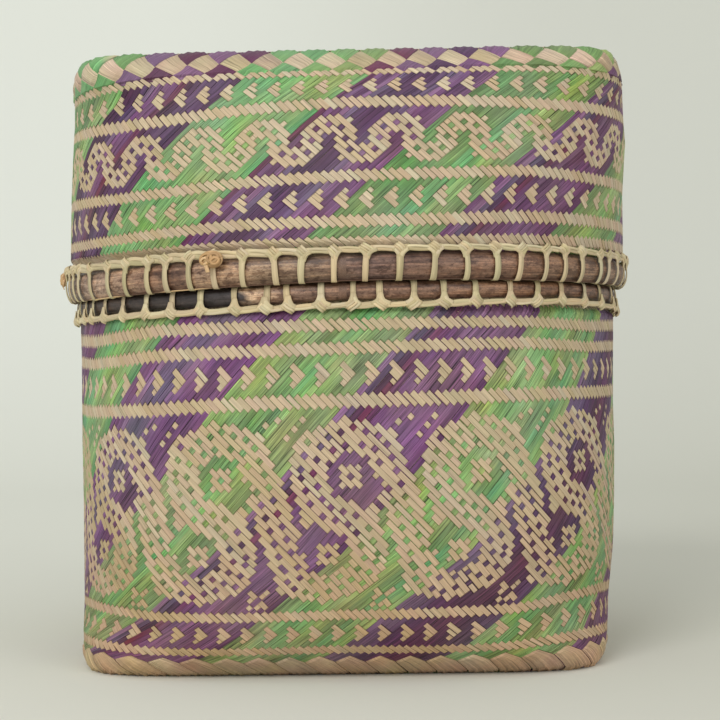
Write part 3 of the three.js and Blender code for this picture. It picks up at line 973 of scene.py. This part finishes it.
def wallPlace(shell, family, centre, x, y, offset):
    # a point of the flat square plan, carried onto the closed end or up a side of the wall
    sign = -1 if shell["turned"] else 1
    side, half = stripsPerSide, halfSide
    reach = np.maximum(np.maximum(np.abs(x), np.abs(y)), 1e-6)
    u = np.where(
        np.abs(y) >= np.abs(x),
        np.where(y < 0, half * x / reach, 2 * side - half * x / reach),
        np.where(x > 0, side + half * y / reach, -side - half * y / reach),
    )
    row = shell["foldRow"] - sign * 2 * (half - reach)
    ways = ((x, -half - y), (side + y, x - half), (2 * side - x, y - half), (-side - y, -half - x))
    for over, (alongSide, depth) in zip(sideOf(family, centre, x, y), ways):
        if over is not None:
            u = np.where(over, alongSide, u)
            row = np.where(over, shell["foldRow"] + sign * 2 * depth, row)
    points = place(shell, u, row, offset)
    # away from its edge the closed end is a plain flat plait
    straight = np.stack((x, y), axis=-1) * np.array(shell["foot"]) / half
    share = smooth((reach / half - 0.5) / 0.48)[..., None]
    points[..., :2] = points[..., :2] * share + straight * (1 - share)
    return points


def wideStops(low, high, exitAt, spacing, lowLimit, highLimit):
    # points along a wide strip: at each crossing, round both folds and at even steps
    dip = plait["wideDip"]
    edges = np.arange(math.ceil(low / stripsInWide) * stripsInWide, high, stripsInWide)
    stops = [e + d for e in edges for d in (-dip, 0, dip)] + list(np.arange(low, high, spacing))
    stops += [fold + d for fold in (-exitAt, exitAt) for d in foldStops]
    stops = sorted({round(s, 3) for s in stops if lowLimit <= s <= highLimit} | {lowLimit, highLimit})
    kept = [stops[0]]
    for stop in stops[1:]:
        if stop - kept[-1] > closestStops:
            kept.append(stop)
    kept[-1] = stops[-1]
    return np.array(kept)


def wideOnTop(plan, family, number, exitAt, naturalEnds, cell):
    # plain plait, but on a dyed foot natural ends lie over the fold and the rest is reversed
    other = np.floor(cell).astype(int)
    even = np.mod(number + other, 2) == 0
    plain = even == ((family == "P") != plan["shell"]["turned"])
    if not plan["dyed"] or plan["shell"]["turned"]:
        return plain
    reach = np.abs(stripsInWide * other + 2)
    atFold = np.where(other < 0, *naturalEnds)
    return np.where(reach < exitAt, ~plain, np.where(reach == exitAt, atFold, plain))


def wideRibbon(plan, family, number, rng):
    shell, over, under = plan["shell"], plait["overHeight"], plait["underHeight"]
    centre = stripsInWide * number + 2
    exitAt = stripsPerSide - abs(centre)
    naturalSides = ("front", "back") if (family == "P") != shell["turned"] else ("left", "right")
    sides = endSides(family, centre)
    natural = [side in naturalSides for side in sides]
    past = [plan["past"][0] if n else plan["past"][1] for n in natural]
    slanted = [plan["slanted"] and not n for n in natural]
    low, high = -exitAt - past[0], exitAt + past[1]
    along = wideStops(low, high, exitAt, plan["spacing"], low + slantLength * slanted[0],
                      high - slantLength * slanted[1])
    half = plait["wideHalf"] * rng.uniform(0.975, 1.0)
    across = np.linspace(-half, half, plan["acrossPoints"])
    across = np.concatenate((across, across[::-1]))
    thick = np.repeat((-0.5, 0.5), plan["acrossPoints"]) * plait["thickness"]
    thick[[plan["acrossPoints"], -1]] *= 0.7
    edge = np.rint(along / stripsInWide)
    before, after = (
        np.where(wideOnTop(plan, family, number, exitAt, natural, edge + step), over, under)
        for step in (-0.5, 0.5)
    )
    dip = plait["wideDip"]
    lift = before + (after - before) * smooth((along - edge * stripsInWide + dip) / (2 * dip))
    # a slanted end follows the edge of the strip that it goes under
    rows = [(a, 0, h) for a, h in zip(along, lift)]
    lowLean, highLean = (1 if side in ("front", "back") else -1 for side in sides)
    if slanted[0]:
        rows = [(low, lowLean, under), (low + 0.6, lowLean, under), (low + 1.2, lowLean, over)] + rows
    if slanted[1]:
        rows += [(high - 1.2, highLean, over), (high - 0.6, highLean, under), (high, highLean, under)]
    along, lean, lift = (column[:, None] for column in np.array(rows).T)
    run = along + lean * across
    lateral = centre + np.broadcast_to(across, run.shape)
    x, y = (run + lateral) / 2, (run - lateral) / 2 * (1 if family == "P" else -1)
    overEdge = np.clip((np.abs(along) - exitAt + (3.5 if shell["turned"] else -0.8)) / 2, 0, 1)
    bow = plait["bow"] * (1 - (across / half) ** 2) * overEdge * (lift - under) / (over - under)
    offset = lift + thick + bow * plan["dyed"] + rng.uniform(-0.03, 0.02)
    points = wallPlace(shell, family, centre, x, y, offset)
    ribbon = ribbonOf(points, across * plait["acrossMm"], run * plait["alongMm"], rng)
    return ribbon, along[:, 0], natural[0], sides[natural[0]]


def dyeBeta(turned, centre, side):
    # the place across the dyed strips of that wall where this wide strip comes up
    half, whole = halfSide, stripsPerSide + halfSide
    if turned:
        return {"front": centre - half, "back": whole - centre, "right": half + centre,
                "left": -whole - centre}[side]
    return {"front": centre + half, "back": whole + stripsPerSide - centre, "right": whole - centre,
            "left": centre - half}[side]


def wideSet(plan, family):
    shell = plan["shell"]
    ribbons = []
    for number in range(-15, 15):
        rng = random.Random(plan["seed"] + number)
        ribbon, along, lowNatural, dyedSide = wideRibbon(plan, family, number, rng)
        colour = np.tile(varied(rng.choice(naturalTints), rng, 0.07), (len(along), 1))
        if plan["dyed"]:
            # the dye begins about the middle of the strip
            beta = dyeBeta(shell["turned"], stripsInWide * number + 2, dyedSide)
            dye = np.array(dyeOf(beta, shell["dyeFirst"], rng))
            toDye = along if lowNatural else -along
            share = smooth((toDye - rng.uniform(-2, 2)) / 2.5 + 0.5)[:, None]
            colour = colour * (1 - share) + dye * share
        ribbon["colour"][:, :3] = colour * weathered(shell, np.full(len(along), shell["foldRow"]))
        ribbons.append(ribbon)
    return ribbons


for plan in widePlans:
    for family in ("P", "Q"):
        ribbonPiece(plan["name"] + family, wideSet(plan, family), wideStrip, plan["body"],
                    plan["node"])
print("closed ends and inner baskets made")


# Rims: canes, lashing and knots. dips is how far the cane lies low at a bearing: at its upper and
# lower edge, and inside. wrap is the line of the strip over the cane, radius and height.

rim = {
    "lashWidth": 2.6,
    "lashThickness": 0.5,
    "strandThickness": 0.6,
    "chainThickness": 0.8,
    "caneDepth": 3.7,
    "caneSteps": 240,
    "caneCorners": 16,
    "caneTurn": 200,
}
bodyRim = {
    "inner": 121.5,
    "bottom": 153.4,
    "top": 160.7,
    "lowerBulge": 0.0,
    "dips": (
        (-180, 0, 0, 0), (-90, 0, 0, 0), (-57, 0, 0.4, 0), (-27, -0.25, 0, -0.25), (-6, -1.25, -0.8, -1.25),
        (0, -1.45, -1.0, -1.45), (14, -1.55, -1.0, -1.55), (30, -1.25, -1.5, -1.25), (50, -0.9, -1.7, -0.9),
        (65, -0.7, -0.5, -0.7), (80, -0.55, 1.2, -0.55), (130, 0, 0, 0), (180, 0, 0, 0),
    ),
    "chainRadius": 126.1,
    "chainHeight": 151.7,
    "chainSide": -1,
    "chainWidth": ((-20, 2.9), (-5, 2.5)),
    "wrap": (
        (124.6, 151.0), (125.3, 152.9), (125.75, 155.0), (125.8, 157.2), (125.45, 159.4), (124.6, 160.6),
        (122.5, 160.75), (120.1, 160.65), (119.45, 159.2), (119.45, 153.0),
    ),
    "bearings": (
        -67.3, -62.4, -56.2, -48.8, -41.7, -35.1, -28.2, -21.0, -15.1, -10.7, -4.7, 1.2, 6.1, 12.3, 18.1,
        24.5, 32.1, 38.8, 45.8, 54.0, 62.1, 71.1,
    ),
    "pitchBehind": 6.6,
    "tints": (
        (-180, (84, 64, 54)), (-75, (92, 72, 60)), (-55, (66, 52, 46)), (-40, (52, 44, 42)),
        (-21, (54, 46, 46)), (-19.4, (60, 50, 48)), (-18.8, (184, 156, 128)), (-13.5, (172, 142, 116)),
        (-12.5, (134, 106, 88)), (-6, (126, 98, 80)), (15, (122, 92, 74)), (30, (146, 110, 84)),
        (38, (132, 98, 74)), (70, (106, 82, 70)), (180, (84, 64, 54)),
    ),
    "swell": 0.6,
}
lidRim = {
    "inner": 126.5,
    "bottom": 162.2,
    "top": 174.4,
    "lowerBulge": 2.0,
    "dips": (
        (-180, 0, 0, 0), (-130, 0, 0, 0), (-90, 2.0, 1.6, 0), (-75, 2.6, 2.0, 0), (-57, 3.2, 2.7, 0),
        (-27, 1.9, 1.05, 0), (-6, 2.0, -0.1, -1.0), (0, 1.7, -0.3, -1.2), (14, 1.2, -0.4, -1.3),
        (30, 1.0, -0.15, -1.0), (45, 1.4, 0.15, -0.7), (60, 2.0, 0.35, -0.5), (75, 3.0, 0.5, -0.35),
        (88, 3.6, 0.7, -0.3), (130, 0, 0, 0), (180, 0, 0, 0),
    ),
    "chainRadius": 130.4,
    "chainHeight": 176.1,
    "chainSide": 1,
    "chainWidth": ((-22, 3.7), (-6, 2.5)),
    "wrap": (
        (129.4, 177.2), (130.3, 174.9), (130.85, 172.4), (131.0, 169.4), (130.7, 166.4), (129.95, 163.9),
        (128.9, 162.1), (127.7, 161.6), (125.5, 161.55), (121.6, 161.6), (120.9, 163.0), (120.85, 171.0),
    ),
    "bearings": (
        -71.7, -68.0, -64.0, -58.2, -50.9, -45.0, -38.8, -34.5, -29.3, -24.4, -18.5, -12.8, -7.6, -2.0, 3.6,
        9.5, 15.9, 21.6, 27.7, 33.3, 39.3, 44.4, 49.8, 56.8, 61.3, 66.4, 72.2,
    ),
    "pitchBehind": 5.7,
    "tints": (
        (-180, (120, 94, 76)), (-75, (156, 132, 116)), (-52, (162, 136, 116)), (-44, (158, 128, 104)),
        (-41, (138, 108, 88)), (-36, (134, 104, 84)), (-35, (104, 78, 62)), (-31.5, (110, 82, 66)),
        (-30.5, (146, 118, 98)), (-26, (160, 132, 106)), (-20, (158, 128, 102)), (-16, (138, 114, 90)),
        (-5, (128, 104, 84)), (4, (104, 80, 72)), (14, (118, 90, 74)), (30, (130, 98, 78)),
        (50, (130, 102, 80)), (70, (140, 114, 96)), (180, (120, 94, 76)),
    ),
    "swell": 0.8,
}
strapSection = np.array(((-0.5, -0.5), (0.5, -0.5), (0.5, 0.1), (0.26, 0.5), (-0.26, 0.5), (-0.5, 0.1)))
rattanTints = ((197, 182, 146), (204, 189, 155), (188, 172, 134), (200, 180, 142), (192, 176, 140))
loopTints = ((200, 164, 118), (182, 144, 100), (210, 178, 134), (192, 154, 108))


def outward(bearing):
    turn = np.radians(bearing)
    return np.stack((np.sin(turn), -np.cos(turn), 0 * turn), axis=-1)


def rimPoint(hoop, bearing, radius, height):
    # bearing in degrees from the front, positive to the right, on a rim that dips and leans
    stops = np.array(hoop["dips"], float)
    near = np.mod(np.asarray(bearing, float) + 180, 360) - 180
    upper, lower, inside = (np.interp(near, stops[:, 0], stops[:, k]) for k in (1, 2, 3))
    rise = np.clip((height - hoop["bottom"]) / (hoop["top"] - hoop["bottom"]), 0, 1)
    outside = np.clip((radius - hoop["inner"] + 0.6) / 2, 0, 1)
    dip = (lower + (upper - lower) * rise) * outside + inside * (1 - outside)
    x, y = radius * np.sin(np.radians(bearing)), -radius * np.cos(np.radians(bearing))
    return np.stack((x, y, height - dip + form["lean"] * x), axis=-1)


def splinePath(points, count):
    # a smooth line through the points
    points = np.array(points, float)
    padded = np.concatenate((2 * points[:1] - points[1:2], points, 2 * points[-1:] - points[-2:-1]))
    places = np.linspace(0, len(points) - 1, count)
    index = np.minimum(places.astype(int), len(points) - 2)
    t = (places - index)[:, None]
    p0, p1, p2, p3 = (padded[index + k] for k in range(4))
    return 0.5 * (2 * p1 + (p2 - p0) * t + (2 * p0 - 5 * p1 + 4 * p2 - p3) * t ** 2
                  + (3 * p1 - p0 - 3 * p2 + p3) * t ** 3)


def strap(centres, facing, widths, thickness, colour, rng):
    # a flat strip of rattan along a line, its crowned side turned to facing
    tangent = np.gradient(centres, axis=0)
    tangent /= np.linalg.norm(tangent, axis=1, keepdims=True)
    side = np.cross(facing, tangent)
    side /= np.linalg.norm(side, axis=1, keepdims=True)
    up = np.cross(tangent, side)
    across = strapSection[:, 0] * np.broadcast_to(widths, len(centres))[:, None]
    points = (centres[:, None] + side[:, None] * across[..., None]
              + up[:, None] * (strapSection[:, 1] * thickness)[:, None])
    length = np.concatenate(([0], np.cumsum(np.linalg.norm(np.diff(centres, axis=0), axis=1))))
    return ribbonOf(points, across, length[:, None], rng, colour)


def allBearings(hoop, rng):
    # the measured wraps in front, then even ones behind with a little play
    front = list(hoop["bearings"])
    gap = 360 + front[0] - front[-1]
    count = round(gap / hoop["pitchBehind"])
    return front + [front[-1] + gap * k / count + rng.uniform(-0.7, 0.7) for k in range(1, count)]


def lashing(hoop, seed):
    rng = random.Random(seed)
    bearings = allBearings(hoop, rng)
    side = hoop["chainSide"]
    perMm = math.degrees(1 / hoop["chainRadius"])
    thickness, strand = rim["lashThickness"], rim["strandThickness"]
    ribbons = []

    def tint(amount):
        return varied(rng.choice(rattanTints), rng, amount)

    def lay(turns, out, up, facing, widths, thick, colour):
        # a strip on the chain: degrees, mm outwards and mm away from the cane at points along it
        radii, heights = hoop["chainRadius"] + np.array(out), hoop["chainHeight"] + side * up
        line = splinePath(rimPoint(hoop, turns, radii, heights), len(facing))
        ribbons.append(strap(line, outward(facing), widths, thick, colour, rng))

    for bearing, following in zip(bearings, bearings[1:] + [bearings[0] + 360]):
        colour = tint(0.07)
        width = rim["lashWidth"] * rng.uniform(0.88, 1.06)
        gap = following - bearing
        # the wrap over the cane
        share = np.linspace(0, 1, 26)
        profile = splinePath(hoop["wrap"], len(share))
        turn = bearing + rng.uniform(-0.5, 0.5) * np.sin(share * math.pi)
        centres = rimPoint(hoop, turn, profile[:, 0], profile[:, 1])
        normal = np.cross(np.gradient(centres, axis=0), outward(turn + 90)) * -side
        widths = width * (1 + 0.08 * np.cos(share * 9 + rng.uniform(0, 6)))
        ribbons.append(strap(centres, normal, widths, thickness, colour, rng))
        # the chain strip to the next wrap
        sag = rng.uniform(-0.25, 0.35)
        drop = rng.uniform(-0.2, 0.2)
        chainWidth = np.interp(bearing, *zip(*hoop["chainWidth"])) * rng.uniform(0.8, 1.05)
        lay(bearing + gap * np.array((0.0, 0.18, 0.5, 0.82, 1.0)), (0.3, 0.25, -0.1, 0.1, -0.5),
            np.array((0.1, 0.35 + drop, sag, -0.1, -0.3)), np.linspace(bearing, following, 10),
            chainWidth * np.array((0.7, 0.9, 1, 1, 0.95, 0.95, 1, 1, 0.9, 0.75)), rim["chainThickness"],
            colour)
        # a second strand lies on the chain
        up = np.array((0.5, 0.9, 0.75, 0.35, 0.0)) * chainWidth / 2.5 + rng.uniform(-0.2, 0.2)
        lay(bearing + gap * np.array((0.08, 0.3, 0.55, 0.78, 0.95)), (0.2, 0.5, 0.45, 0.5, 0.1), up,
            np.linspace(bearing, following, 9), chainWidth * 0.45, thickness, tint(0.07))
        # two gussets that spread from the wrap into the chain
        reach = rng.uniform(2.6, 3.4)
        spread = np.array((0.9, 1.02, 1.15, 1.35, 1.6, 1.95, 2.35, 2.75, 2.9))
        spread = width * spread * rng.uniform(0.9, 1.05)
        lay(np.full(4, bearing), (0.35, 0.6, 0.7, 0.35), -np.array((4.6, 2.9, 1.2, -0.5)),
            np.full(9, bearing), spread, thickness, colour)
        for way in (-1, 1):
            flare = reach * rng.uniform(0.85, 1.15)
            turns = bearing + way * perMm * np.array((0.1, 0.35, 1.1, flare * 0.8, flare * 1.15))
            up = side * rng.uniform(-0.15, 0.15) - np.array((4.0, 2.8, 1.35, 0.45, 0))
            lay(turns, np.array((0.15, 0.45, 0.75, 0.6, 0.1)) + 0.12 * (way > 0), up,
                bearing + way * np.linspace(0, flare, 9) * perMm, width * 0.78, strand, tint(0.06))
        # the turns over the crossing, side by side
        slant = -side * rng.choice((-1, 1, 1, 1)) * rng.uniform(0.8, 1.2)
        for shift in (-0.85, 0.0, 0.85):
            turns = perMm * (slant * np.array((-1.9, -1.2, 0.0, 1.2, 1.9)) + shift * np.sign(slant))
            lay(bearing + turns, np.array((0.1, 1.0, 1.35, 1.0, -0.1)) - 0.25 * abs(shift),
                np.array((-1.7, -1.0, 0.15, 1.0, 1.6)) - 0.75 * shift + 0.2, np.full(9, bearing),
                width * 0.44, strand, tint(0.09))
    return ribbons


def makeCane(name, hoop, seed, body, node):
    # a split cane: a round section carried once round the mouth, then worn a little uneven
    far = rim["caneTurn"]
    bm = bmesh.new()
    bmesh.ops.create_circle(bm, cap_ends=False, segments=rim["caneCorners"], radius=1,
                            matrix=Matrix.Translation((far, 0, 0)) @ Matrix.Rotation(math.pi / 2, 4, "X"))
    bmesh.ops.spin(bm, geom=bm.verts[:] + bm.edges[:], cent=(0, 0, 0), axis=(0, 0, 1), dvec=(0, 0, 0),
                   angle=2 * math.pi, steps=rim["caneSteps"], use_merge=True)
    bmesh.ops.recalc_face_normals(bm, faces=bm.faces[:])
    mesh = bpy.data.meshes.new(name)
    bm.to_mesh(mesh)
    bm.free()
    co = pointsOf(mesh)
    turn = np.arctan2(co[:, 0], -co[:, 1])
    cosine, sine = np.hypot(co[:, 0], co[:, 1]) - far, co[:, 2]
    rng = random.Random(seed)
    uneven, rise = np.zeros((2, len(co)))
    for wave in (3, 5, 9, 14, 23, 37):
        uneven += rng.uniform(0.2, 1) * np.sin(wave * turn + rng.uniform(0, 6.3)) / wave ** 0.5
        rise += rng.uniform(0.2, 1) * np.sin(wave * turn + rng.uniform(0, 6.3)) / wave ** 0.5
    half = (hoop["top"] - hoop["bottom"]) / 2
    outer = np.where(cosine > 0, 0.35 + 0.65 * np.abs(cosine) ** 0.9, 0.35 - 0.35 * np.abs(cosine) ** 0.3)
    worn = 1 + 0.035 * hoop["swell"] * uneven * (cosine > 0)
    radius = hoop["inner"] + rim["caneDepth"] * outer * worn
    height = (hoop["top"] + hoop["bottom"]) / 2 + half * np.sign(sine) * np.abs(sine) ** 0.85
    bulged = radius - hoop["lowerBulge"] * np.clip(-sine, 0, 1) ** 2 * np.clip(cosine, 0, 1) ** 0.4
    bearing = np.degrees(turn)
    points = rimPoint(hoop, bearing, radius, height + 0.1 * rise * np.abs(cosine))
    points[:, :2] *= (bulged / radius)[:, None]
    stops = np.array([stop for stop, _ in hoop["tints"]])
    shades = np.array([linear(*tint) for _, tint in hoop["tints"]])
    jag = bearing + 1.2 * np.sin(sine * 4 + bearing)
    rgba = np.stack([np.interp(jag, stops, shades[:, k]) for k in range(3)] + [np.ones(len(co))], axis=1)
    # painted shade with some grime along both edges of the round cane, and its face painted a little lighter
    rgba[:, :3] *= (1.08 - 0.5 * np.abs(sine) ** 3)[:, None]
    writePoints(mesh, points, rgba, np.stack((sine * half, np.abs(turn) * 125, np.sign(turn) * 40), axis=1))
    mesh.shade_smooth()
    addPiece(mesh, caneBark, body, node)


makeCane("bodyCane", bodyRim, 21, "box", "body_hoop")
makeCane("lidCane", lidRim, 22, "lid", "lid_hoop")
ribbonPiece("bodyLashing", lashing(bodyRim, 31), rattanStrip, "box", "body_lashing", rounded=True)
ribbonPiece("lidLashing", lashing(lidRim, 32), rattanStrip, "lid", "lid_lashing", rounded=True)

filler = {
    "seed": 51,
    "starts": (-170, -52, 65),
    "length": 121,
    "steps": 90,
    "radius": 127.8,
    "height": 161.95,
    "width": 2.0,
    "thickness": 0.4,
    "bare": ((-62, -46), (-38, -24)),
    "barkColour": (96, 70, 54),
}


def fillerLengths():
    # a thin splint under the lid's cane, in three overlapping lengths; most of it shows its bark side
    rng = random.Random(filler["seed"])
    ribbons = []
    for start in filler["starts"]:
        turns = np.linspace(start, start + filler["length"], filler["steps"])
        waver = 0.12 * np.sin(turns * 0.11 + rng.uniform(0, 6)) + 0.08 * np.sin(turns * 0.37)
        line = rimPoint(lidRim, turns, filler["radius"] + 0.3 * waver, filler["height"] + waver * 0.4)
        down = np.broadcast_to((0, 0, -1.0), line.shape)
        colour = varied(loopTints[2], rng, 0.08)
        ribbon = strap(line, down, filler["width"], filler["thickness"], colour, rng)
        bare = sum(smooth((turns - low) / 4) * smooth((high - turns) / 4) for low, high in filler["bare"])
        bark = 1 - bare[:, None]
        rgb = ribbon["colour"][:, :3]
        ribbon["colour"][:, :3] = rgb * (1 - bark) + np.array(linear(*filler["barkColour"])) * bark
        ribbons.append(ribbon)
    return ribbons


ribbonPiece("rimFiller", fillerLengths(), rattanStrip, "lid", "lid_rim_filler", rounded=True)

# size is half the width, height and depth. Curls are x, z, radius and strip width; tails are x, z,
# length and the way they lean.
knots = {
    "ballKnot": {
        "node": "ball_knot", "seed": 41, "bearing": -24.0, "height": 174.3, "radius": 133.1,
        "size": (5.6, 3.9, 2.8), "turns": 7,
        "curls": ((-1.6, 0.2, 2.6, 1.3), (1.7, 0.5, 2.2, 1.2), (2.6, -0.7, 1.7, 1.1), (-2.2, -0.8, 1.6, 1.0)),
        "tails": ((-1.6, -2.4, 2.8, 0.3),),
    },
    "endKnot": {
        "node": "end_knot", "seed": 42, "bearing": -81.5, "height": 173.0, "radius": 131.9,
        "size": (3.0, 3.6, 1.4), "turns": 5,
        "curls": ((0, 0.8, 1.5, 0.9), (0.3, -1.1, 1.2, 0.9)),
        "tails": ((-0.8, -2.2, 2.2, 0.2),),
    },
}


def knotStraps(knot):
    # a core of strips wound over each other, with loose curls and a tail on its outer side
    rng = random.Random(knot["seed"])
    wide, tall, deep = knot["size"]
    centre = rimPoint(lidRim, knot["bearing"], knot["radius"], knot["height"])
    axes = np.stack((outward(knot["bearing"] + 90), (0, 0, 1.0), outward(knot["bearing"])))
    ribbons = []

    def lay(places, facing, width, thickness, colour):
        # places and facing are across, up and out from the knot's middle
        facing = np.stack(facing, axis=1) @ axes
        facing /= np.linalg.norm(facing, axis=1, keepdims=True)
        line = centre + np.stack(places, axis=1) @ axes
        ribbons.append(strap(line, facing, width, thickness, colour, rng))

    for k in range(knot["turns"]):
        tip = math.pi * k / knot["turns"] + rng.uniform(-0.2, 0.2)
        swing = rng.uniform(-0.5, 0.5)
        size = rng.uniform(0.74, 0.9)
        turn = np.linspace(0, 2 * math.pi, 25)
        a, b, c = np.cos(turn), np.sin(turn) * math.cos(tip), np.sin(turn) * math.sin(tip)
        a, b = a * math.cos(swing) - b * math.sin(swing), a * math.sin(swing) + b * math.cos(swing)
        lay((a * wide * size, b * tall * size, c * deep * size), (a / wide, b / tall, c / deep),
            tall * 0.55, 0.5, varied(rng.choice(loopTints), rng, 0.12))
    for x, z, size, width in knot["curls"]:
        turn = np.linspace(rng.uniform(0, 6), rng.uniform(10.5, 12), 30)
        r = size * (1 + 0.12 * np.sin(2 * turn))
        a, b = x + r * np.cos(turn), z + r * np.sin(turn) * 0.8
        bulge = np.sqrt(np.clip(1 - (a / wide) ** 2 - (b / tall) ** 2, 0.02, 1)) * deep * 0.93
        bulge = bulge + np.linspace(0, 0.3, 30)
        lay((a, b, bulge), (a / wide ** 2, b / tall ** 2, bulge / deep ** 2), width, 0.45,
            varied(rng.choice(loopTints), rng, 0.14))
    for x, z, length, way in knot["tails"]:
        t = np.linspace(0, 1, 8)
        lay((x + way * t * length * 0.4, z - length * t, deep * 0.7 - 1.1 * t), (0 * t, 0 * t, 1 + 0 * t),
            1.7, 0.45, varied(loopTints[2], rng, 0.05))
    return ribbons


for name, knot in knots.items():
    ribbonPiece(name, knotStraps(knot), rattanStrip, "lid", knot["node"], rounded=True)
print("rims made")

for node, material in (
    ("neck_binding", plainWood("bindingCane", (172, 154, 112), (208, 192, 152))),
    ("lid_splint", plainWood("splintCane", (168, 144, 104), (204, 180, 140))),
):
    carried = bpy.data.objects[node]
    carried.data.materials.clear()
    carried.data.materials.append(material)
